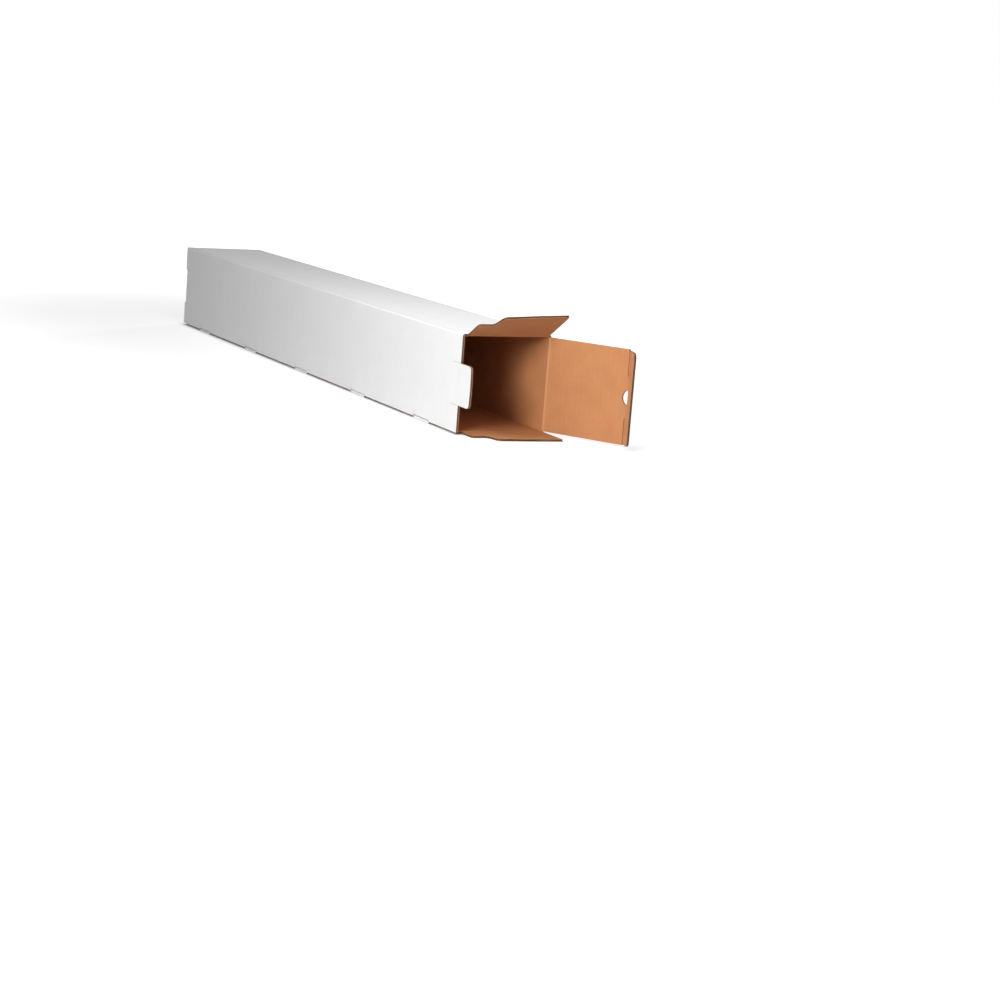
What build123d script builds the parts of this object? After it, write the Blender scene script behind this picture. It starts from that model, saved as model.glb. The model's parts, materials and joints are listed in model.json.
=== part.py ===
# Square mailing tube folded from one sheet of corrugated board, with its near end open.
# X runs across the tube, Y along it and Z up. The mouth faces -Y.
# The origin is the centre of the underside.
from build123d import *
from math import cos, radians, sin
import os

os.makedirs("parts", exist_ok=True)

# Driving dimensions, in millimetres and degrees
tube_length = 860.0
tube_width = 108.0
tube_height = 108.0
board = 2.5
fold_radius = 2.0

# Clearances at cut edges, at creases and between boards that lie on each other
cut_gap = 0.3
crease_gap = 0.35
layer_gap = 0.3

# End lid, hinged on the right wall
lid_slot = 2.2
lid_top_clearance = 2.2
finger_hole_radius = 9.0

# Tuck flap on the lid's free edge
tuck_depth = 22.0
tuck_corner_radius = 6.0
tuck_side_inset = 1.5
tuck_notch_depth = 6.0

# Lock tongue on the left wall's end edge
tongue_height = 45.0
tongue_reach = 26.0
tongue_bulge = 1.5
tongue_corner_radius = 5.0
tongue_slit_length = 14.0

# Dust flaps on the top and bottom walls: a low shoulder beside the tongue, then an S-curve
dust_side_inset = 8.8
dust_shoulder_width = 13.5
dust_shoulder_depth = 26.0
dust_curve_width = 13.0
dust_curve_depth = 45.0
dust_depth = 51.5
dust_corner_radius = 3.0

# Long lock seam at the lower left edge
seam_flap_height = 30.0
seam_flap_setback = 32.0
seam_flap_corner = 10.0
seam_slot_height = 2.0
seam_tab_count = 5
seam_tab_width = 38.0
seam_tongue_reach = 22.0
seam_tongue_corner_radius = 4.0
seam_slit_length = 6.0

# Fold angles of a closed end, measured from flat
lid_closed_angle = 90.0
tuck_closed_angle = 98.0
dust_closed_angle = 96.0
tongue_closed_angle = 90.0

# Fold angles of the open near end
lid_open_angle = 30.0
tuck_open_angle = 50.0
top_flap_lift_angle = 31.0

# Places that follow from the dimensions
half_board = board / 2
half_width = tube_width / 2
mouth_y = -tube_length / 2
left_inner_x = -half_width + board
right_inner_x = half_width - board
mid_z = tube_height / 2

# The lid lies in the mouth's plane, and the tongue and dust flaps fold in just behind it
lid_hinge_x = half_width - half_board
lid_hinge_y = mouth_y + half_board
second_layer_y = mouth_y + board + layer_gap
second_hinge_y = second_layer_y + half_board
crease_setback = half_board + crease_gap

lid_low_z = board + layer_gap
lid_high_z = tube_height - lid_top_clearance
lid_length = tube_width - 2 * board - lid_slot
lid_reach = lid_hinge_x - left_inner_x - cut_gap

tongue_low_z = mid_z - tongue_height / 2
tongue_high_z = mid_z + tongue_height / 2
tongue_length = tongue_reach + second_hinge_y - mouth_y

dust_left_x = -half_width + dust_side_inset
dust_right_x = right_inner_x - cut_gap

seam_face_x = left_inner_x + layer_gap
seam_inner_x = seam_face_x + board
seam_flap_end_y = tube_length / 2 - seam_flap_setback
seam_tongue_low_z = board + layer_gap
seam_tongue_high_z = seam_tongue_low_z + board
seam_tab_pitch = tube_length / seam_tab_count


def block(x0, x1, y0, y1, z0, z1):
    """A box between two opposite corners."""
    centre = Pos((x0 + x1) / 2, (y0 + y1) / 2, (z0 + z1) / 2)
    return centre * Box(x1 - x0, y1 - y0, z1 - z0)


def sheet(u0, u1, v0, v1):
    """A flat rectangle between two opposite corners."""
    return Pos((u0 + u1) / 2, (v0 + v1) / 2) * Rectangle(u1 - u0, v1 - v0)


def cut_board(outline):
    """The outline cut from board, centred on the drawing plane."""
    return extrude(outline, half_board, both=True)


def round_crease(u0, u1):
    """The half-round hinge edge of a flap, which runs along the drawing's X axis."""
    return Pos((u0 + u1) / 2, 0) * Rot(0, 90, 0) * Cylinder(half_board, u1 - u0)


def upright_fold(x, y, direction):
    """The drawing plane of a flap that turns about a vertical crease."""
    heading = (cos(radians(direction)), sin(radians(direction)), 0)
    normal = Vector(0, 0, 1).cross(Vector(*heading))
    return Plane(origin=(x, y, 0), x_dir=(0, 0, 1), z_dir=normal)


def level_fold(z, lift):
    """The drawing plane of a dust flap, which turns about a crease along X."""
    heading = Vector(0, -cos(radians(lift)), sin(radians(lift)))
    normal = Vector(1, 0, 0).cross(heading)
    return Plane(origin=(0, second_hinge_y, z), x_dir=(1, 0, 0), z_dir=normal)


def make_lid(open_angle, setback):
    """The lid, open_angle past flat, with its far end set back from the tuck flap's crease."""
    outline = sheet(lid_low_z, lid_high_z, 0, lid_length - setback)
    outline += sheet(tongue_low_z, tongue_high_z, 0, lid_reach)
    outline -= Pos(mid_z, lid_reach) * Circle(finger_hole_radius)
    lid = cut_board(outline) + round_crease(lid_low_z, lid_high_z)
    return upright_fold(lid_hinge_x, lid_hinge_y, open_angle - 90) * lid


def make_tuck_flap(open_angle, bend):
    """The tuck flap, bent inwards from a lid that is open_angle past flat."""
    low_z = lid_low_z + tuck_side_inset
    high_z = lid_high_z - tuck_side_inset
    outline = sheet(low_z, high_z, 0, tuck_depth)
    outline = fillet(outline.vertices().group_by(Axis.Y)[-1], tuck_corner_radius)
    notch_low_z = tongue_low_z - cut_gap
    notch_high_z = tongue_high_z + cut_gap
    outline -= sheet(notch_low_z, notch_high_z, 0, tuck_notch_depth)
    flap = cut_board(outline)
    flap += round_crease(low_z, notch_low_z)
    flap += round_crease(notch_high_z, high_z)
    lid_direction = radians(open_angle - 90)
    crease_x = lid_hinge_x + lid_length * cos(lid_direction)
    crease_y = lid_hinge_y + lid_length * sin(lid_direction)
    return upright_fold(crease_x, crease_y, open_angle - 90 - bend) * flap


def make_tongue(fold_angle):
    """The lock tongue, with a slightly bulged end, folded inwards by fold_angle."""
    corner_v = tongue_length - tongue_bulge
    side_a = Line((tongue_low_z, corner_v), (tongue_low_z, 0))
    root = Line((tongue_low_z, 0), (tongue_high_z, 0))
    side_b = Line((tongue_high_z, 0), (tongue_high_z, corner_v))
    end = ThreePointArc((tongue_high_z, corner_v), (mid_z, tongue_length), (tongue_low_z, corner_v))
    outline = make_face(side_a + root + side_b + end)
    outline = fillet(outline.vertices().group_by(Axis.Y)[-1], tongue_corner_radius)
    tongue = cut_board(outline) + round_crease(tongue_low_z, tongue_high_z)
    return upright_fold(-half_width + half_board, second_hinge_y, fold_angle - 90) * tongue


def make_dust_flap(z, lift):
    """A dust flap on the crease at height z, lifted above flat by the angle lift."""
    shoulder_end_x = dust_left_x + dust_shoulder_width
    curve_end_x = shoulder_end_x + dust_curve_width
    edge_rise = (dust_depth - dust_curve_depth) / (dust_right_x - curve_end_x)
    shoulder_end = (shoulder_end_x, dust_shoulder_depth)
    curve_end = (curve_end_x, dust_curve_depth)
    sides = Polyline(shoulder_end, (dust_left_x, dust_shoulder_depth), (dust_left_x, 0),
                     (dust_right_x, 0), (dust_right_x, dust_depth), curve_end)
    curve = Spline(curve_end, shoulder_end, tangents=[(-1, -edge_rise), (-1, 0)])
    outline = make_face(sides + curve)
    shoulder_corner = outline.vertices().sort_by_distance((dust_left_x, dust_shoulder_depth))[0]
    outline = fillet(shoulder_corner, dust_corner_radius)
    flap = cut_board(outline) + round_crease(dust_left_x, dust_right_x)
    return level_fold(z, lift) * flap


def make_wall_profile():
    """The four walls seen from the mouth, open at the lower left edge where the seam is."""
    outer = Pos(0, mid_z) * RectangleRounded(tube_width, tube_height, fold_radius)
    inner = Pos(0, mid_z) * Rectangle(tube_width - 2 * board, tube_height - 2 * board)
    left_wall_end = sheet(-half_width, seam_inner_x, 0, seam_slot_height)
    bottom_wall_end = sheet(left_inner_x, seam_inner_x, 0, board)
    return outer - inner - left_wall_end - bottom_wall_end


def end_cuts(setback):
    """What the mouth's edge loses: room for the lid, and creases set back from their hinges."""
    past_mouth = mouth_y - board
    cuts = [
        block(left_inner_x, right_inner_x, past_mouth, second_layer_y, -board, tube_height + board),
        block(right_inner_x, half_width + board, past_mouth, lid_hinge_y + setback,
              -board, tube_height + board),
        block(-half_width - board, left_inner_x, past_mouth, second_hinge_y + setback,
              tongue_low_z - cut_gap, tongue_high_z + cut_gap),
        block(dust_left_x - cut_gap, right_inner_x, past_mouth, second_hinge_y + setback,
              -board, tube_height + board),
    ]
    for slit_z in (tongue_low_z - cut_gap, tongue_high_z):
        slit_end_y = second_hinge_y + tongue_slit_length
        cuts.append(block(-half_width - board, left_inner_x, past_mouth, slit_end_y,
                          slit_z, slit_z + cut_gap))
    return cuts


def make_seam_flap():
    """The inner flap that stands behind the left wall, and its strips at both ends."""
    section = sheet(seam_face_x, seam_inner_x, 0, seam_flap_height)
    outer_fold = section.vertices().sort_by_distance((seam_face_x, 0))[0]
    section = fillet(outer_fold, fold_radius)
    flap = extrude(Plane.XZ * section, seam_flap_end_y, both=True)
    top_corners = flap.edges().filter_by(Axis.X).group_by(Axis.Z)[-1]
    flap = chamfer(top_corners, seam_flap_corner)
    for end in (-1, 1):
        strip_y = sorted((end * seam_flap_end_y, end * (tube_length / 2 - board - layer_gap)))
        flap += block(seam_face_x, seam_inner_x, strip_y[0], strip_y[1], 0, board)
    return flap


def make_seam_tongue(y):
    """A tongue of the left wall, folded in over the bottom wall through the seam flap."""
    low_y = y - seam_tab_width / 2
    high_y = y + seam_tab_width / 2
    tip_x = -half_width + seam_tongue_reach
    outline = sheet(-half_width, tip_x, low_y, high_y)
    outline = fillet(outline.vertices().group_by(Axis.X)[-1], seam_tongue_corner_radius)
    tongue = Pos(0, 0, seam_tongue_low_z) * extrude(outline, board)
    outer_fold = tongue.edges().filter_by(Axis.Y).sort_by_distance((-half_width, y, 0))[0]
    return fillet(outer_fold, fold_radius)


def lock_seam(body):
    """Adds the seam flap, then cuts and fills each place where the long seam locks."""
    body += make_seam_flap()
    for index in range(seam_tab_count):
        y = (index - (seam_tab_count - 1) / 2) * seam_tab_pitch
        low_y = y - seam_tab_width / 2
        high_y = y + seam_tab_width / 2
        window_high_z = seam_tongue_high_z + layer_gap
        body -= block(-half_width - board, seam_inner_x, low_y - cut_gap, high_y + cut_gap,
                      -board, window_high_z)
        for slit_y in (low_y - cut_gap, high_y):
            slit_high_z = seam_slot_height + seam_slit_length
            body -= block(-half_width - board, left_inner_x, slit_y, slit_y + cut_gap,
                          -board, slit_high_z)
        body += block(-half_width, left_inner_x, low_y, high_y, seam_tongue_high_z, window_high_z)
        body += block(-half_width, seam_inner_x, low_y, high_y, 0, board)
        body += make_seam_tongue(y)
    return body


def make_far_end():
    """The far end's flaps, folded shut and locked: the closed near end, seen in a mirror."""
    flaps = [
        make_lid(-lid_closed_angle, 0),
        make_tuck_flap(-lid_closed_angle, tuck_closed_angle),
        make_tongue(tongue_closed_angle),
        make_dust_flap(tube_height - half_board, -dust_closed_angle),
        make_dust_flap(half_board, dust_closed_angle),
    ]
    return [mirror(flap, about=Plane.XZ) for flap in flaps]


def make_tube_body():
    """The walls with the cut mouth, the locked seam and the closed far end, in one solid."""
    body = extrude(Plane.XZ * make_wall_profile(), tube_length / 2, both=True)
    for cut in end_cuts(crease_setback):
        body -= cut
    for cut in end_cuts(0):
        body -= mirror(cut, about=Plane.XZ)
    body = lock_seam(body)
    for flap in make_far_end():
        body += flap
    return body


nodes = {
    "tube_body": make_tube_body(),
    "near_lid": make_lid(lid_open_angle, crease_setback),
    "near_tuck_flap": make_tuck_flap(lid_open_angle, tuck_open_angle),
    "near_top_dust_flap": make_dust_flap(tube_height - half_board, top_flap_lift_angle),
    "near_bottom_dust_flap": make_dust_flap(half_board, 0),
    "near_lock_tongue": make_tongue(0),
}

for name, solid in nodes.items():
    export_step(solid, f"parts/{name}.step")
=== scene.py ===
# %% [markdown]
# # A square mailing tube of corrugated board
#
# The real thing is one sheet of corrugated board. It is creased, folded into a long square tube and
# locked with tongues, with no glue. The sheet is white outside and brown inside.
#
# The frame gives every panel at its true size. This lesson turns those plain solids into real board:
# two paper liners with a wavy paper between them. That shows wherever the board was cut.

# %% Load the frame
import json
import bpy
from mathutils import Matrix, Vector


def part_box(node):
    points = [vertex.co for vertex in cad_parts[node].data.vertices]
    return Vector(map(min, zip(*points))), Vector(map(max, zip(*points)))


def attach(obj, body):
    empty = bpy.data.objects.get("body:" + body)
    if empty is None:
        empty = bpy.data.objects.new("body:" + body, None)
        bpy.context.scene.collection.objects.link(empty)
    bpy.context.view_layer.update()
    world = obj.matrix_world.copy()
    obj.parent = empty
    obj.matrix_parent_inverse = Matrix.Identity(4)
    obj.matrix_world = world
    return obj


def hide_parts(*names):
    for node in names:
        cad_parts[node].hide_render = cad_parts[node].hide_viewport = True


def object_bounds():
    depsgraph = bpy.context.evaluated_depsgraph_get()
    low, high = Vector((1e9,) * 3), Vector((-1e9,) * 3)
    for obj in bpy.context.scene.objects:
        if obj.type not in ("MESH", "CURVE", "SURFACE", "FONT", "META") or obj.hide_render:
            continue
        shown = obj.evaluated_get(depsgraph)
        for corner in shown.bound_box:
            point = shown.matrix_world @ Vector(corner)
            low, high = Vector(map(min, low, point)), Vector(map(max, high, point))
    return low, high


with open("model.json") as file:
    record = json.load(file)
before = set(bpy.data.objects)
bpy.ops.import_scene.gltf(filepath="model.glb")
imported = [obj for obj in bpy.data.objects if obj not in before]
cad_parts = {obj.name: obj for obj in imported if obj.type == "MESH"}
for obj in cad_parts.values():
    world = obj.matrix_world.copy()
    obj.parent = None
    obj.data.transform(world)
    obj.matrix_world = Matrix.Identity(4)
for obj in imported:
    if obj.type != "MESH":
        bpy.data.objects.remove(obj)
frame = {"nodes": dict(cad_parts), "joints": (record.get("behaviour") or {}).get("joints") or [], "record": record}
cad_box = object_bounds()
print("frame holds", len(frame["nodes"]), "panels")
print("plain box", [[round(v, 4) for v in corner] for corner in cad_box])

# %% [markdown]
# ## The camera
#
# A tall tube end and a long side in one picture call for a long lens, which keeps the far end from
# shrinking too fast. The camera stands to the left of the mouth and a little above it, and leans
# over by a few degrees, as a camera held by hand does.
#
# A camera could be aimed with a Track To constraint. A heading, a tilt and a lean are clearer here,
# because each is one number that can be changed by itself.

# %% Place the camera
from math import cos, pi, radians, sin

import bpy
from mathutils import Quaternion, Vector

LENS_MM = 78.5
CAMERA_PLACE = Vector((-1.1043, -2.4733, 0.3860))
CAMERA_HEADING = radians(28.52)
CAMERA_TILT = radians(11.16)
CAMERA_LEAN = radians(4.52)


def place_camera():
    """Makes the camera look along its heading, tilted down and leaning to one side."""
    data = bpy.data.cameras.new("camera")
    data.lens = LENS_MM
    camera = bpy.data.objects.new("camera", data)
    bpy.context.scene.collection.objects.link(camera)
    level = Vector((sin(CAMERA_HEADING), cos(CAMERA_HEADING), 0)) * cos(CAMERA_TILT)
    sight = level - Vector((0, 0, sin(CAMERA_TILT)))
    lean = Quaternion((0, 0, 1), CAMERA_LEAN)
    camera.rotation_mode = "QUATERNION"
    camera.rotation_quaternion = sight.to_track_quat("-Z", "Y") @ lean
    camera.location = CAMERA_PLACE
    bpy.context.scene.camera = camera
    return camera


camera = place_camera()
bpy.context.scene.view_settings.view_transform = "Standard"
print("camera", round(camera.location.length, 3), "m from the tube's middle")

# %% [markdown]
# ## Light
#
# White board needs soft light from one side: then the side wall, the top and the lid each get a tone
# of their own. The key lamp stands low, to the left of the mouth, so that its light passes under the
# raised top flap and reaches the lid. A small lamp above the mouth lights the top. Both are near the
# mouth, so their light fades along the tube by itself. A soft lamp in front lifts the inside. The
# fourth stands behind, for the sides that the key can't reach, and needs more watts as it is far off.
#
# A photographer would use a white room. Here the sky looks white but lights only dimly: its light
# comes from everywhere, so more of it would make every side of the tube the same grey.

# %% Helpers for shader nodes
def add_node(tree, kind, **values):
    """A new node. Each value sets the input whose name it has, with _ for a space."""
    node = tree.nodes.new(kind)
    for name, value in values.items():
        node.inputs[name.replace("_", " ")].default_value = value
    return node


def join(tree, source, target):
    """Links two sockets of a node tree."""
    tree.links.new(source, target)


def math_value(tree, operation, first, second):
    """One calculation with two values, either of which may be a socket or a number."""
    node = tree.nodes.new("ShaderNodeMath")
    node.operation = operation
    for socket, value in zip(node.inputs, (first, second)):
        if isinstance(value, (int, float)):
            socket.default_value = value
        else:
            join(tree, value, socket)
    return node.outputs[0]


def seen_directly(tree):
    """A value of 1 for camera, mirror and clear-material rays, and 0 for all others."""
    path = tree.nodes.new("ShaderNodeLightPath")
    total = path.outputs["Is Camera Ray"]
    for name in ("Is Glossy Ray", "Is Transmission Ray"):
        total = math_value(tree, "MAXIMUM", total, path.outputs[name])
    return total


print("shader helpers ready")

# %% Sky
SKY_LIGHT = 0.24
SKY_TINT = (1.0, 0.95, 0.975, 1.0)


def make_sky():
    """A white sky for the eye, and a dimmer one for the light it gives."""
    world = bpy.data.worlds.new("sky")
    world.use_nodes = True
    tree = world.node_tree
    tree.nodes.clear()
    eye = add_node(tree, "ShaderNodeBackground", Color=(1, 1, 1, 1), Strength=1.0)
    light = add_node(tree, "ShaderNodeBackground", Color=SKY_TINT, Strength=SKY_LIGHT)
    mix = tree.nodes.new("ShaderNodeMixShader")
    output = tree.nodes.new("ShaderNodeOutputWorld")
    join(tree, seen_directly(tree), mix.inputs[0])
    join(tree, light.outputs[0], mix.inputs[1])
    join(tree, eye.outputs[0], mix.inputs[2])
    join(tree, mix.outputs[0], output.inputs[0])
    bpy.context.scene.world = world


make_sky()
print("the sky looks white, and gives light at a strength of", SKY_LIGHT)

# %% Lamps
MOUTH = Vector((-0.03, -0.42, 0.06))
FAR_HALF = Vector((0.0, 0.15, 0.05))


def add_lamp(name, place, target, width, watts, colour, spread=pi):
    """A square soft lamp that faces its target. A spread below pi keeps its light together."""
    data = bpy.data.lights.new(name, "AREA")
    data.size = width
    data.spread = spread
    data.energy = watts
    data.color = colour
    lamp = bpy.data.objects.new(name, data)
    lamp.location = place
    lamp.rotation_mode = "QUATERNION"
    lamp.rotation_quaternion = (target - place).to_track_quat("-Z", "Y")
    bpy.context.scene.collection.objects.link(lamp)
    return lamp


lamps = [
    add_lamp("key_lamp", place=Vector((-1.05, -1.10, 0.52)), target=MOUTH, width=0.5, watts=8.8,
             colour=(0.99, 1.0, 0.985), spread=radians(145)),
    add_lamp("top_lamp", place=Vector((-0.12, -0.42, 0.78)), target=MOUTH, width=0.35, watts=2.9,
             colour=(1.0, 1.0, 0.985)),
    add_lamp("fill_lamp", place=Vector((-0.35, -2.1, 0.55)), target=MOUTH, width=0.8, watts=2.5,
             colour=(1.0, 1.0, 1.0)),
    add_lamp("back_lamp", place=Vector((1.5, 1.3, 0.25)), target=FAR_HALF, width=0.4, watts=21.0,
             colour=(1.0, 0.99, 1.0)),
]
print("lamps of", [round(lamp.data.energy, 1) for lamp in lamps], "W")

# %% [markdown]
# ## Floor
#
# The floor is white paper. It looks pure white to the camera because a little glow is added for
# camera and mirror rays alone, so no extra light reaches the tube, and the shadow stays. Stronger
# lamps would whiten the floor too, but they would also burn out the white board.
#
# The glow grows with the distance from the tube, so the shadow melts into plain white. Under the
# tube it is left out, because no light gets there.

# %% Measure distances on the floor
TUBE_HALF_WIDTH = -cad_box[0][0]
TUBE_HALF_LENGTH = cad_box[1][1]


def distances_from_tube(tree):
    """How far a place on the floor is from the tube's middle line, and from the edge of its foot."""
    place = tree.nodes.new("ShaderNodeTexCoord").outputs["Object"]
    parts = tree.nodes.new("ShaderNodeSeparateXYZ")
    join(tree, place, parts.inputs[0])
    across = math_value(tree, "ABSOLUTE", parts.outputs["X"], 0.0)
    along = math_value(tree, "ABSOLUTE", parts.outputs["Y"], 0.0)
    past_side = math_value(tree, "SUBTRACT", across, TUBE_HALF_WIDTH)
    past_end = math_value(tree, "SUBTRACT", along, TUBE_HALF_LENGTH)
    beyond = math_value(tree, "MAXIMUM", past_end, 0.0)
    squares = [math_value(tree, "MULTIPLY", side, side) for side in (across, beyond)]
    from_line = math_value(tree, "SQRT", math_value(tree, "ADD", *squares), 0.0)
    return from_line, math_value(tree, "MAXIMUM", past_side, past_end)


print("the tube's foot is", round(2 * TUBE_HALF_WIDTH, 3), "by", round(2 * TUBE_HALF_LENGTH, 3), "m")

# %% Lay the white floor
FLOOR_HALF = 40.0
FLOOR_LEVEL = -0.0002
FLOOR_PAPER = (0.60, 0.60, 0.61, 1.0)
GLOW_NEAR = 0.60
GLOW_FAR = 1.0
FADE_START = 0.12
FADE_END = 0.75
FOOT_START = -0.004
FOOT_END = 0.008


def make_floor():
    """A wide sheet of white paper under the tube, brightened for the eye alone."""
    corners = [(-FLOOR_HALF, -FLOOR_HALF), (FLOOR_HALF, -FLOOR_HALF),
               (FLOOR_HALF, FLOOR_HALF), (-FLOOR_HALF, FLOOR_HALF)]
    mesh = bpy.data.meshes.new("floor")
    mesh.from_pydata([(x, y, FLOOR_LEVEL) for x, y in corners], [], [(0, 1, 2, 3)])
    material = bpy.data.materials.new("floor_paper")
    material.use_nodes = True
    tree = material.node_tree
    tree.nodes.clear()
    fade = add_node(tree, "ShaderNodeMapRange", From_Min=FADE_START, From_Max=FADE_END,
                    To_Min=GLOW_NEAR, To_Max=GLOW_FAR)
    fade.interpolation_type = "SMOOTHSTEP"
    from_line, from_foot = distances_from_tube(tree)
    join(tree, from_line, fade.inputs["Value"])
    foot = add_node(tree, "ShaderNodeMapRange", From_Min=FOOT_START, From_Max=FOOT_END)
    join(tree, from_foot, foot.inputs["Value"])
    glow_here = math_value(tree, "MULTIPLY", fade.outputs[0], foot.outputs[0])
    paper = add_node(tree, "ShaderNodeBsdfDiffuse", Color=FLOOR_PAPER)
    glow = add_node(tree, "ShaderNodeEmission", Color=(1, 1, 1, 1))
    join(tree, math_value(tree, "MULTIPLY", seen_directly(tree), glow_here), glow.inputs["Strength"])
    both = tree.nodes.new("ShaderNodeAddShader")
    join(tree, paper.outputs[0], both.inputs[0])
    join(tree, glow.outputs[0], both.inputs[1])
    output = tree.nodes.new("ShaderNodeOutputMaterial")
    join(tree, both.outputs[0], output.inputs["Surface"])
    mesh.materials.append(material)
    floor = bpy.data.objects.new("floor", mesh)
    bpy.context.scene.collection.objects.link(floor)


make_floor()
print("floor is", 2 * FLOOR_HALF, "m wide")

# %% [markdown]
# ## The papers
#
# Three papers make the board. The outer liner is bleached: a matt white with a faint cloudiness. The
# inner liner is brown kraft, with fibres and dark specks. Both carry faint stripes of painted shade
# where the waves under them ripple the liner. The waves themselves are a darker, rougher brown. A
# liner's cut rim shows bare fibres, in a duller brown than its face.
#
# All of them are the same kind of thing, so one function makes them from a few numbers. A photo of
# paper could be used as a texture, but noise has no edges or repeats, and it stays sharp up close.
#
# The stripes follow the waves of the board, as painted shade of the ripple they make. Each point of a
# panel knows how far it lies across the waves, in the attribute across_flutes, and the paper reads it
# from there. On a flap that is also the distance from its crease, so the same number places the
# groove that creasing leaves, with a painted crease tone beside it: paler on the kraft, a painted
# highlight of light on the rounded fold, and darker on the white.

# %% Helpers for paper
FLUTE_PITCH = 0.0061


def noise_value(tree, place, scale, detail, roughness=0.6):
    """A cloudy value between 0 and 1, with scale in lumps per metre."""
    noise = add_node(tree, "ShaderNodeTexNoise", Scale=scale, Detail=detail, Roughness=roughness)
    join(tree, place, noise.inputs["Vector"])
    return noise.outputs["Fac"]


def across_flutes_value(tree):
    """How far a point lies across the waves, which on a flap is its distance from the crease."""
    attribute = tree.nodes.new("ShaderNodeAttribute")
    attribute.attribute_name = "across_flutes"
    return attribute.outputs["Fac"]


def flute_wave(tree, across):
    """A value from -1 to 1 that follows the waves under the liner."""
    return math_value(tree, "SINE", math_value(tree, "MULTIPLY", across, 2 * pi / FLUTE_PITCH), 0.0)


def remap(tree, value, low, high, low_out, high_out):
    """Stretches low to high into low_out to high_out, and holds it there beyond."""
    node = add_node(tree, "ShaderNodeMapRange", From_Min=low, From_Max=high,
                    To_Min=low_out, To_Max=high_out)
    join(tree, value, node.inputs["Value"])
    return node.outputs[0]


def tint(tree, colour, factor, towards):
    """The colour mixed towards another one by a factor."""
    mix = tree.nodes.new("ShaderNodeMix")
    mix.data_type = "RGBA"
    join(tree, factor, mix.inputs["Factor"])
    colour_in, towards_in = [s for s in mix.inputs if s.type == "RGBA"]
    if isinstance(colour, tuple):
        colour_in.default_value = colour
    else:
        join(tree, colour, colour_in)
    towards_in.default_value = towards
    return next(s for s in mix.outputs if s.type == "RGBA")


print("flutes are", round(FLUTE_PITCH * 1000, 2), "mm apart")

# %% One paper from a few numbers
CREASE_WIDTH = 0.0032
CREASE_DEPTH = 0.14
SHINE = 0.25
CLOUDS_PER_METRE = 45.0
MOTTLES_PER_METRE = 520.0
FUZZ_PER_METRE = 1500.0
FIBRES_PER_METRE = 1900.0
FIBRE_SQUEEZE = (1.0, 0.22, 1.0)
LUMP_SHARE = 0.6
CLOUD_CONTRAST = (0.35, 0.68)
FIBRE_CONTRAST = (0.60, 0.74)
MILLIMETRE = 0.001


def make_paper(name, base, cloud, cloud_share, speck, speck_share, grain, roughness,
               ripple=0.0, painted_ripple_shade_share=0.0, painted_crease_tone=None, painted_crease_share=0.0):
    """A matt paper that drifts from its base colour to a cloud and a speck colour.

    The shares say how far it drifts; the stripes along the waves are painted shade. Beside a crease
    it goes to its painted crease tone, a painted highlight where that is paler than the paper. ripple
    is the height of the waves that show through it and grain that of its fibres, both in millimetres.
    """
    material = bpy.data.materials.new(name)
    material.use_nodes = True
    tree = material.node_tree
    shader = tree.nodes["Principled BSDF"]
    shader.inputs["Roughness"].default_value = roughness
    shader.inputs["Specular IOR Level"].default_value = SHINE
    place = tree.nodes.new("ShaderNodeTexCoord").outputs["Object"]

    lumps = math_value(tree, "MULTIPLY", noise_value(tree, place, CLOUDS_PER_METRE, 5.0), LUMP_SHARE)
    mottle = math_value(tree, "MULTIPLY", noise_value(tree, place, MOTTLES_PER_METRE, 6.0, 0.75),
                        1 - LUMP_SHARE)
    drift = remap(tree, math_value(tree, "ADD", lumps, mottle), *CLOUD_CONTRAST, 0.0, cloud_share)
    shade = tint(tree, base, drift, cloud)

    squeeze = add_node(tree, "ShaderNodeMapping", Scale=FIBRE_SQUEEZE)
    join(tree, place, squeeze.inputs["Vector"])
    fibres = noise_value(tree, squeeze.outputs[0], FIBRES_PER_METRE, 3.0)
    shade = tint(tree, shade, remap(tree, fibres, *FIBRE_CONTRAST, 0.0, speck_share), speck)

    across = across_flutes_value(tree)
    wave = flute_wave(tree, across)
    # Painted shade: faint stripes along the waves stand in for the shade of the liner's ripple.
    shade = tint(tree, shade, remap(tree, wave, -1.0, 1.0, 0.0, painted_ripple_shade_share), cloud)
    # Painted crease tone: paler on the kraft, as a painted highlight of light on the rounded fold, and darker on
    # the white.
    crease = remap(tree, across, 0.0, CREASE_WIDTH, 1.0, 0.0)
    shade = tint(tree, shade, math_value(tree, "MULTIPLY", crease, painted_crease_share), painted_crease_tone or cloud)
    join(tree, shade, shader.inputs["Base Color"])

    waves = math_value(tree, "MULTIPLY", wave, ripple / 2)
    groove = math_value(tree, "MULTIPLY", math_value(tree, "MULTIPLY", crease, crease), -CREASE_DEPTH)
    fuzz = math_value(tree, "MULTIPLY", noise_value(tree, place, FUZZ_PER_METRE, 4.0, 0.7), grain)
    height = math_value(tree, "ADD", math_value(tree, "ADD", waves, fuzz), groove)
    bump = add_node(tree, "ShaderNodeBump", Strength=1.0, Distance=MILLIMETRE)
    join(tree, height, bump.inputs["Height"])
    join(tree, bump.outputs["Normal"], shader.inputs["Normal"])
    return material


print("a crease leaves a mark", CREASE_WIDTH * 1000, "mm wide")

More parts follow.
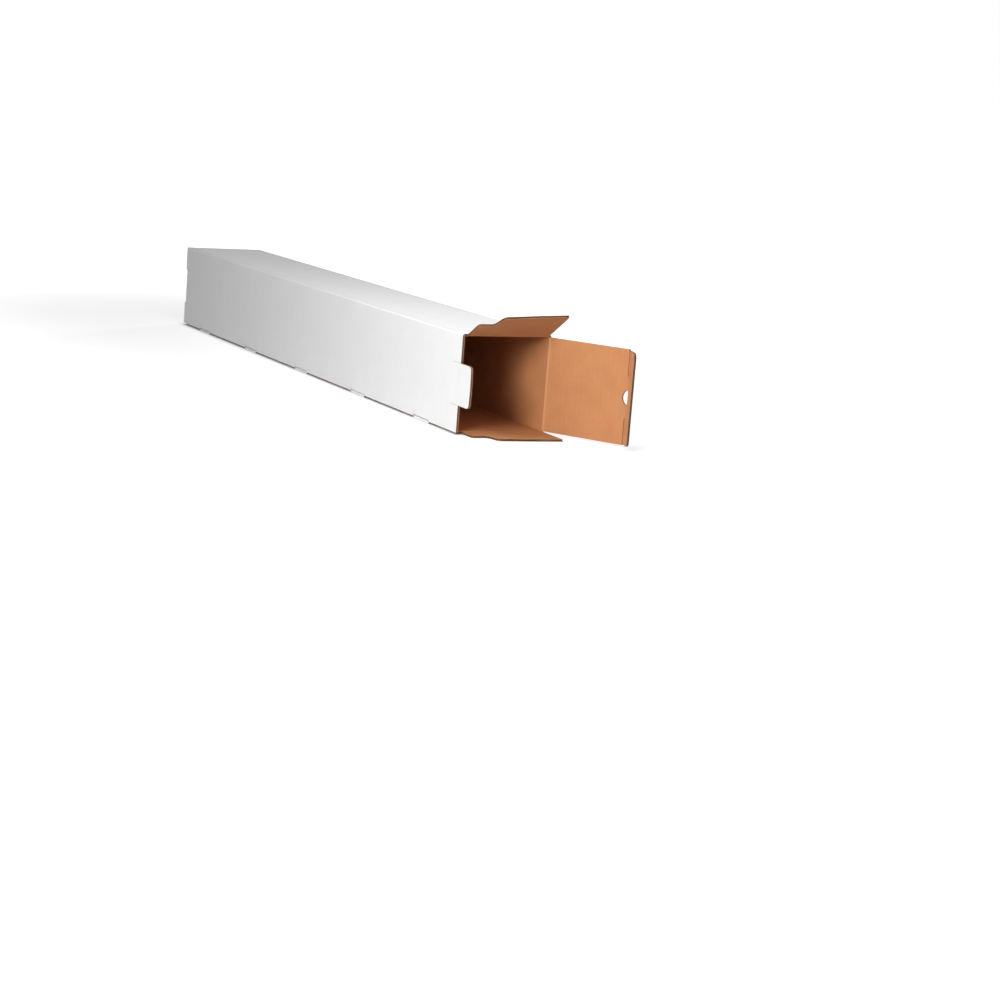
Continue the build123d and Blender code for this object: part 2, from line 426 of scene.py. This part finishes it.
# %% Mix the papers
# The stripe shares are painted shade of the ripple. The crease tones are paler on the kraft, a painted highlight
# of light on the rounded fold, and darker on the white.
white_paper = make_paper(
    "white_liner", base=(0.84, 0.845, 0.85, 1), cloud=(0.76, 0.755, 0.765, 1), cloud_share=0.35,
    speck=(0.70, 0.66, 0.62, 1), speck_share=0.10, grain=0.010, roughness=0.70,
    ripple=0.018, painted_ripple_shade_share=0.10, painted_crease_tone=(0.72, 0.70, 0.69, 1), painted_crease_share=0.30)
kraft_paper = make_paper(
    "kraft_liner", base=(0.585, 0.262, 0.112, 1), cloud=(0.44, 0.185, 0.077, 1), cloud_share=0.50,
    speck=(0.28, 0.125, 0.06, 1), speck_share=0.40, grain=0.016, roughness=0.82,
    ripple=0.016, painted_ripple_shade_share=0.08, painted_crease_tone=(0.74, 0.40, 0.21, 1), painted_crease_share=0.55)
flute_paper = make_paper(
    "fluting", base=(0.33, 0.175, 0.095, 1), cloud=(0.24, 0.12, 0.062, 1), cloud_share=0.70,
    speck=(0.16, 0.075, 0.038, 1), speck_share=0.45, grain=0.030, roughness=0.90)
edge_paper = make_paper(
    "cut_paper_edge", base=(0.50, 0.31, 0.20, 1), cloud=(0.38, 0.22, 0.135, 1), cloud_share=0.60,
    speck=(0.30, 0.165, 0.10, 1), speck_share=0.35, grain=0.025, roughness=0.90)
print("papers:", [m.name for m in (white_paper, kraft_paper, flute_paper, edge_paper)])

# %% [markdown]
# ## From solid to liners
#
# A panel of the frame is solid, but real board is two thin liners held apart. Both liners are
# already there, as the large faces of the solid. A ray shot into the solid finds them: behind a
# liner it comes out after one board, or a little over two where it crosses a rounded fold at a
# slant. On the roundest part of a fold it runs on, so there the panel itself says that the face is
# paper. Any other face is a cut edge.
#
# The panels could be drawn again from their sizes. Sorting the frame's own faces is shorter, and
# every slit, notch and hole stays exactly where it belongs.

# %% Measure the board
FOLDS = {joint["child"]: joint for joint in frame["joints"]}
BODIES = frame["record"]["behaviour"]["bodies"]
BODY_OF = {nodes[0]: body for body, nodes in BODIES.items()}

tube_low, tube_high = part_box("tube_body")
tongue_low, tongue_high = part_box("near_lock_tongue")
BOARD = tongue_high.x - tongue_low.x
HALF_BOARD = BOARD / 2
LINER = 0.00028
TOUCH = 1e-6
MIDDLE_Z = (tube_low.z + tube_high.z) / 2
print("board", round(BOARD * 1000, 2), "mm; tube", [round(v, 3) for v in tube_high - tube_low])

# %% Sort the faces of a panel
import bmesh
from mathutils.bvhtree import BVHTree

OUTER, INNER, CUT = 1, 2, 3
LINER_REACH = 2.2 * BOARD
FLAT_WITHIN = radians(0.3)


def welded_copy(node):
    """The panel's mesh as an editable copy, with its doubled corners joined."""
    work = bmesh.new()
    work.from_mesh(frame["nodes"][node].data)
    bmesh.ops.remove_doubles(work, verts=work.verts, dist=TOUCH)
    bmesh.ops.dissolve_degenerate(work, dist=TOUCH, edges=work.edges)
    return work


def sort_faces(work, faces_outwards, always_liner):
    """Marks every face as outer liner, inner liner or cut edge.

    always_liner is true for the round faces whose back is too far off for the ray to tell.
    """
    kind = work.faces.layers.int.new("kind")
    tree = BVHTree.FromBMesh(work)
    for face in work.faces:
        centre = face.calc_center_median()
        distance = tree.ray_cast(centre - face.normal * TOUCH, -face.normal)[3]
        is_thin = distance is not None and distance < LINER_REACH
        is_liner = is_thin or always_liner(centre, face.normal)
        if not is_liner:
            face[kind] = CUT
        elif faces_outwards(centre, face.normal):
            face[kind] = OUTER
        else:
            face[kind] = INNER
    return kind


def merge_flat_faces(work, kind):
    """Joins the triangles of each flat face, but never across two kinds of face."""
    inside = [e for e in work.edges if len(e.link_faces) == 2
              and e.link_faces[0][kind] == e.link_faces[1][kind]]
    bmesh.ops.dissolve_limit(work, angle_limit=FLAT_WITHIN, edges=inside, verts=work.verts,
                             delimit={"SHARP"})


print("a face whose back is under", round(LINER_REACH * 1000, 2), "mm behind it is a liner")

# %% [markdown]
# ## Waves inside the board
#
# Where a cut runs across the flutes it shows a row of small arches. Where it runs along them it
# shows one line of paper. Both come from one rule: the middle paper is a sine wave whose height
# depends only on how far a point lies across the flutes.
#
# The whole middle sheet would be a hundred thousand faces that nobody sees. A narrow ribbon behind
# each cut edge is enough, because the liners hide the rest.

# %% Shape one ribbon of fluting
from math import ceil

FLUTE_PAPER = 0.00022
FLUTE_HEIGHT = HALF_BOARD - LINER - FLUTE_PAPER / 2
FLUTE_STEP = FLUTE_PITCH / 10
RIBBON_DEPTH = 0.007
EDGE_RECESS = 0.00012


def ribbon_grid(start, along, length, inward, across, thick, origin):
    """Corners of one ribbon: it starts at a cut edge, runs along it and reaches inward."""
    columns = max(1, ceil(length * abs(along.dot(across)) / FLUTE_STEP))
    rows = max(1, ceil(RIBBON_DEPTH * abs(inward.dot(across)) / FLUTE_STEP))
    grid = []
    for i in range(columns + 1):
        for j in range(rows + 1):
            depth = EDGE_RECESS + (RIBBON_DEPTH - EDGE_RECESS) * j / rows
            point = start + along * (length * i / columns) + inward * depth
            turns = 2 * pi * (point - origin).dot(across) / FLUTE_PITCH
            grid.append(point + thick * (FLUTE_HEIGHT * sin(turns)))
    faces = []
    for i in range(columns):
        for j in range(rows):
            corner = i * (rows + 1) + j
            faces.append((corner, corner + 1, corner + rows + 2, corner + rows + 1))
    return grid, faces


print("flutes stand", round(2 * FLUTE_HEIGHT * 1000, 2), "mm high between the liners")

# %% Lay a ribbon behind each cut edge
def is_one_board(size):
    """True for a size that is the board's own thickness, give or take a tenth."""
    return abs(size - BOARD) < 0.1 * BOARD


def ribbon_of_face(face, thick, across, origin, end_gap):
    """The ribbon behind one cut face, or None if the face isn't a strip of board's edge."""
    along = thick.cross(face.normal).normalized()
    heights = [vert.co.dot(thick) for vert in face.verts]
    runs = [vert.co.dot(along) for vert in face.verts]
    if not is_one_board(max(heights) - min(heights)):
        return None
    middle = (max(heights) + min(heights)) / 2
    length = max(runs) - min(runs) - 2 * end_gap
    if length <= 0:
        return None
    start = face.calc_center_median()
    start += thick * (middle - start.dot(thick)) + along * (min(runs) + end_gap - start.dot(along))
    return ribbon_grid(start, along, length, -face.normal, across, thick, origin)


def mesh_of_ribbons(name, ribbons, bend):
    """One mesh of all the ribbons of a panel, bent as the panel is."""
    points, faces = [], []
    for grid, quads in ribbons:
        faces += [tuple(len(points) + i for i in quad) for quad in quads]
        points += [bend(point) for point in grid]
    mesh = bpy.data.meshes.new(name)
    mesh.from_pydata(points, [], faces)
    return mesh


print("ribbons reach", RIBBON_DEPTH * 1000, "mm in from a cut edge")

# %% [markdown]
# ## Sheets with a thickness
#
# A liner is thin, but a close look at a cut edge shows its thickness. The sorted faces are a sheet
# with none, and could be extruded by hand. A Solidify modifier does it for every panel alike, and
# paints the rim with the raw edge's paper.
#
# Smooth shading would smear light round the rims. Edge Split parts the faces there, and Weighted
# Normal keeps the large flat faces flat beside the small ones of a rounded fold.

# %% Give a sheet its thickness
SHARP_FROM = radians(32)


def show_piece(name, mesh, body, thickness, offset, materials):
    """Gives a sheet its paper thickness and materials, and lets it ride on its body."""
    for material in materials:
        mesh.materials.append(material)
    for polygon in mesh.polygons:
        polygon.use_smooth = True
    piece = bpy.data.objects.new(name, mesh)
    bpy.context.scene.collection.objects.link(piece)
    solidify = piece.modifiers.new("paper", "SOLIDIFY")
    solidify.thickness = thickness
    solidify.offset = offset
    solidify.use_even_offset = True
    solidify.material_offset = len(materials) - 1
    solidify.material_offset_rim = len(materials) - 1
    split = piece.modifiers.new("sharp_rims", "EDGE_SPLIT")
    split.split_angle = SHARP_FROM
    even = piece.modifiers.new("even_shading", "WEIGHTED_NORMAL")
    even.keep_sharp = True
    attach(piece, body)
    return piece


print("liners are", round(LINER * 1000, 2), "mm thick")

# %% Dress a panel in its three papers
def liner_mesh(work, wanted, name, across_flutes):
    """A mesh of one liner's faces, with each corner's distance across the flutes."""
    part = work.copy()
    layer = part.faces.layers.int["kind"]
    others = [face for face in part.faces if face[layer] != wanted]
    bmesh.ops.delete(part, geom=others, context="FACES")
    mesh = bpy.data.meshes.new(name)
    part.to_mesh(mesh)
    part.free()
    attribute = mesh.attributes.new("across_flutes", "FLOAT", "POINT")
    attribute.data.foreach_set("value", [across_flutes(v.co) for v in mesh.vertices])
    return mesh


def make_board(node, work, ribbons, across_flutes, bend):
    """The three papers of one panel, which together stand for its node."""
    body = BODY_OF[node]
    for vert in work.verts:
        vert.co = bend(vert.co)
    outer = show_piece(node + "_outer_liner", liner_mesh(work, OUTER, node + "_outer", across_flutes),
                       body, LINER, -1, [white_paper, edge_paper])
    inner = show_piece(node + "_inner_liner", liner_mesh(work, INNER, node + "_inner", across_flutes),
                       body, LINER, -1, [kraft_paper, edge_paper])
    waves = show_piece(node + "_fluting", mesh_of_ribbons(node + "_waves", ribbons, bend),
                       body, FLUTE_PAPER, 0, [flute_paper])
    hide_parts(node)
    print(node, "outer", len(outer.data.polygons), "inner", len(inner.data.polygons),
          "fluting", len(waves.data.polygons))
    return outer, inner, waves


print("panel builder ready")

# %% [markdown]
# ## The flaps
#
# The lid, the tuck flap, the two dust flaps and the lock tongue all hang on a crease. The frame's
# joints say where each crease is and which way its flap closes. The side that the flap closes
# towards is the brown one.
#
# A flap of card never stays quite flat: it curls away from its crease. A curl that grows with the
# square of the distance keeps the crease itself straight, so the flap still fits when it closes.

# %% Read each crease from the frame
def crease_of(node):
    """The crease's place and direction, the flap's direction away from it, and its outer side."""
    joint = FOLDS[BODY_OF[node]]
    place = Vector(joint["pos_m"])
    axis = Vector(joint["axis"])
    points = [v.co for v in frame["nodes"][node].data.vertices]
    away = sum(points, Vector()) / len(points) - place
    away = (away - axis * away.dot(axis)).normalized()
    closing = max(joint["range_deg"], key=abs)
    inner_side = axis.cross(away) * (1 if closing > 0 else -1)
    return place, away, -inner_side


for node in sorted(BODY_OF):
    if BODY_OF[node] in FOLDS:
        print(node, "hangs at", [round(v, 4) for v in crease_of(node)[0]])

# %% Score a mesh so that it can bend
def cut_into_grid(work, origin, direction, low, high, step):
    """Cuts a mesh by evenly spaced parallel planes, at most a step apart."""
    count = int((high - low) / step)
    for index in range(1, count + 1):
        point = origin + direction * (low + index * (high - low) / (count + 1))
        everything = list(work.verts) + list(work.edges) + list(work.faces)
        bmesh.ops.bisect_plane(work, geom=everything, dist=TOUCH, plane_co=point, plane_no=direction)


print("scoring helper ready")

# %% Build the five flaps
from mathutils import noise

CURL = {
    "near_lid": 0.0006,
    "near_tuck_flap": 0.0002,
    "near_top_dust_flap": 0.0010,
    "near_bottom_dust_flap": 0.0,
    "near_lock_tongue": 0.0003,
}
CURL_DRIFT = 0.6
CURLS_PER_METRE = 22.0
FLAP_GRID = 0.008
HINGE_REACH = 1.02 * HALF_BOARD


def build_flap(node):
    """Sorts, scores and curls one flap, then makes its three papers."""
    place, away, outer_side = crease_of(node)
    axis = Vector(FOLDS[BODY_OF[node]]["axis"])
    work = welded_copy(node)
    reach = max((v.co - place).dot(away) for v in work.verts)
    sides = [(v.co - place).dot(axis) for v in work.verts]

    def near_hinge(point, normal):
        from_axis = (point - place) - axis * (point - place).dot(axis)
        return from_axis.length < HINGE_REACH and from_axis.dot(away) < TOUCH

    def faces_outwards(point, normal):
        return normal.dot(outer_side) > 0

    def curl(point):
        share = max(0.0, (point - place).dot(away) / reach)
        uneven = 1.0 + CURL_DRIFT * noise.noise(point * CURLS_PER_METRE)
        return point + outer_side * (CURL[node] * uneven * share * share)

    kind = sort_faces(work, faces_outwards, near_hinge)
    merge_flat_faces(work, kind)
    cuts = [face for face in work.faces if face[kind] == CUT]
    ribbons = [ribbon_of_face(face, outer_side, away, place, 0.0) for face in cuts]
    cut_into_grid(work, place, away, 0.0, reach, FLAP_GRID)
    cut_into_grid(work, place, axis, min(sides), max(sides), FLAP_GRID)
    make_board(node, work, [r for r in ribbons if r], lambda p: (p - place).dot(away), curl)
    work.free()


for node in CURL:
    build_flap(node)

# %% [markdown]
# ## The tube
#
# The walls, the long lock seam and the closed far end are one sheet. Its outer side is the one that
# faces away from the tube's middle line.
#
# At the mouth each wall stops just short of its crease in the frame, so that the solids can turn.
# Paper doesn't stop there: it runs on to the crease, and the flap's round edge turns inside it.
#
# Long walls don't stay quite flat. They belly out between their folds by about half a millimetre,
# which is enough to make the light on them drift a little.

# %% Sort the tube's faces
LAYER_GAP = 0.0003
SEAM_DEPTH = 2 * BOARD + LAYER_GAP
FAR_END_DEPTH = 0.03
STRAIGHT = 0.99999
FACING = 0.9


def axis_point(point):
    """The nearest point of the tube's middle line, short of the far end's folded layers."""
    return Vector((0, min(max(point.y, tube_low.y), tube_high.y - FAR_END_DEPTH), MIDDLE_Z))


def tube_faces_outwards(point, normal):
    """True on the side of the sheet that faces away from the tube's middle line.

    A seam tab is white on both sides, because its paper is folded back under it. Between the tabs
    the seam flap's brown side is put in the slot as painted shade, so that the slot reads dark.
    """
    at_foot = point.x < tube_low.x + SEAM_DEPTH and point.z < BOARD + TOUCH
    # Painted shade: in the slot the seam flap takes the brown kraft, standing in for the shade inside the slot.
    in_painted_shade_slot = at_foot and point.x > tube_low.x + BOARD and normal.x < -TOUCH
    if in_painted_shade_slot:
        return False
    return at_foot or normal.dot(point - axis_point(point)) > 0


def main_axis(vector):
    """The world axis that a direction follows, or None if it is slanted."""
    for index in range(3):
        if abs(vector[index]) > STRAIGHT:
            return index
    return None


def is_folded(point, normal):
    """True where the white paper runs round a fold, or round a seam tab's edge."""
    is_tab_edge = normal.x < -FACING and point.x < tube_low.x + TOUCH
    sides = (abs(point.x) - tube_high.x, MIDDLE_Z - abs(point.z - MIDDLE_Z), point.y - tube_high.y)
    at_sides = sum(abs(side) < LINER_REACH for side in sides)
    return is_tab_edge or (at_sides >= 2 and main_axis(normal) is None)


print("the lock seam is", round(SEAM_DEPTH * 1000, 1), "mm deep")

# %% Lay the tube's ribbons
FOLD_ROUNDING = 0.0012


def tube_ribbon(face):
    """The fluting behind one of the tube's cut faces, kept clear of the rounded folds."""
    normal_axis = main_axis(face.normal)
    if normal_axis is None:
        return None
    for axis in range(3):
        extents = [vert.co[axis] for vert in face.verts]
        if axis != normal_axis and is_one_board(max(extents) - min(extents)):
            thick = Vector([1.0 if i == axis else 0.0 for i in range(3)])
            across = Vector((1, 0, 0)) if axis == 1 else Vector((0, 1, 0))
            origin = Vector((0, tube_low.y, 0))
            return ribbon_of_face(face, thick, across, origin, FOLD_ROUNDING)
    return None


print("the fluting stops", FOLD_ROUNDING * 1000, "mm short of a rounded fold")

# %% Run the walls on to their creases
CREASE_GAP = 1.6 * HALF_BOARD


def crease_line(point):
    """Where along the tube the nearest crease of the mouth lies."""
    on_right = point.x > tube_high.x - BOARD
    return FOLDS["lid" if on_right else "top_dust_flap"]["pos_m"][1]


def faces_crease(face):
    """True for a wall's end that stops just short of a crease at the mouth."""
    centre = face.calc_center_median()
    gap = centre.y - crease_line(centre)
    return face.normal.y < -FACING and HALF_BOARD < gap < CREASE_GAP


def stretch_to_creases(work):
    """Moves the wall ends that face a crease on to the crease's own line."""
    for face in [f for f in work.faces if faces_crease(f)]:
        crease_y = crease_line(face.calc_center_median())
        for vert in face.verts:
            vert.co.y = crease_y


print("creases lie at", sorted({round(joint["pos_m"][1], 4) for joint in FOLDS.values()}), "m")

# %% Let the walls belly out
WALL_SKIN = 1.1 * BOARD
BULGE = 0.0005
BULGE_MIDDLE = 0.6
BULGE_DRIFT = 0.9
BULGES_PER_METRE = Vector((9.0, 6.0, 9.0))
STILL_END = 0.03
RAMP = 0.12
STILL_FOOT = 0.035


def bulge(point):
    """Lets the long walls belly out a little between their folds, unevenly along the tube."""
    from_ends = min(point.y - tube_low.y, tube_high.y - point.y) - STILL_END
    grow = min(1.0, max(0.0, from_ends / RAMP))
    drift = BULGE_MIDDLE + BULGE_DRIFT * noise.noise(point * BULGES_PER_METRE)
    swell = BULGE * grow * drift
    moved = point.copy()
    if abs(point.x) > tube_high.x - WALL_SKIN and STILL_FOOT < point.z < tube_high.z - BOARD:
        span = (point.z - STILL_FOOT) / (tube_high.z - BOARD - STILL_FOOT)
        moved.x += (1 if point.x > 0 else -1) * swell * sin(pi * span)
    elif point.z > tube_high.z - WALL_SKIN and abs(point.x) < tube_high.x - BOARD:
        span = (point.x / (tube_high.x - BOARD) + 1) / 2
        moved.z += swell * sin(pi * span)
    return moved


print("walls belly out by up to", BULGE * 1000, "mm")

# %% Carry the stripes along the tube
def tube_across_flutes(point):
    """Along the tube on its walls, and on across the far lid, as the sheet does.

    It starts before the mouth, because the crease marks, the groove and the painted crease tone, belong on the
    flaps' side.
    """
    on_lid = point.y > tube_high.y - WALL_SKIN and point.x > tube_low.x + WALL_SKIN
    start = tube_low.y - CREASE_WIDTH
    return point.y - start + (tube_high.x - point.x if on_lid else 0.0)


print("the tube has", round((tube_high.y - tube_low.y) / FLUTE_PITCH), "waves from end to end")

# %% Cut where the seam flap ends
SEAM_FLAP_SETBACK = 0.032


def cut_at_seam(work):
    """Cuts the mesh where the seam flap ends, so that no face is part liner and part edge."""
    along = Vector((0, 1, 0))
    sideways = Vector((1, 0, 0))
    cuts = [
        (along, tube_low.y + SEAM_FLAP_SETBACK),
        (along, tube_high.y - SEAM_FLAP_SETBACK),
        (sideways, tube_low.x + SEAM_DEPTH),
    ]
    for normal, level in cuts:
        everything = list(work.verts) + list(work.edges) + list(work.faces)
        bmesh.ops.bisect_plane(work, geom=everything, dist=TOUCH, plane_co=normal * level,
                               plane_no=normal)


print("the seam flap stops", SEAM_FLAP_SETBACK * 1000, "mm short of each end")

# %% Build the tube
WALL_GRID = 0.018


def build_tube():
    """Sorts, scores and shapes the walls, then makes their three papers."""
    work = welded_copy("tube_body")
    cut_at_seam(work)
    kind = sort_faces(work, tube_faces_outwards, is_folded)
    merge_flat_faces(work, kind)
    work.normal_update()
    cuts = [f for f in work.faces if f[kind] == CUT and not faces_crease(f)]
    ribbons = [ribbon for ribbon in map(tube_ribbon, cuts) if ribbon]
    stretch_to_creases(work)
    origin = Vector((0, 0, 0))
    cut_into_grid(work, origin, Vector((0, 1, 0)), tube_low.y, tube_high.y, WALL_GRID)
    cut_into_grid(work, origin, Vector((1, 0, 0)), tube_low.x, tube_high.x, WALL_GRID)
    cut_into_grid(work, origin, Vector((0, 0, 1)), tube_low.z, tube_high.z, WALL_GRID)
    make_board("tube_body", work, ribbons, tube_across_flutes, bulge)
    work.free()


build_tube()
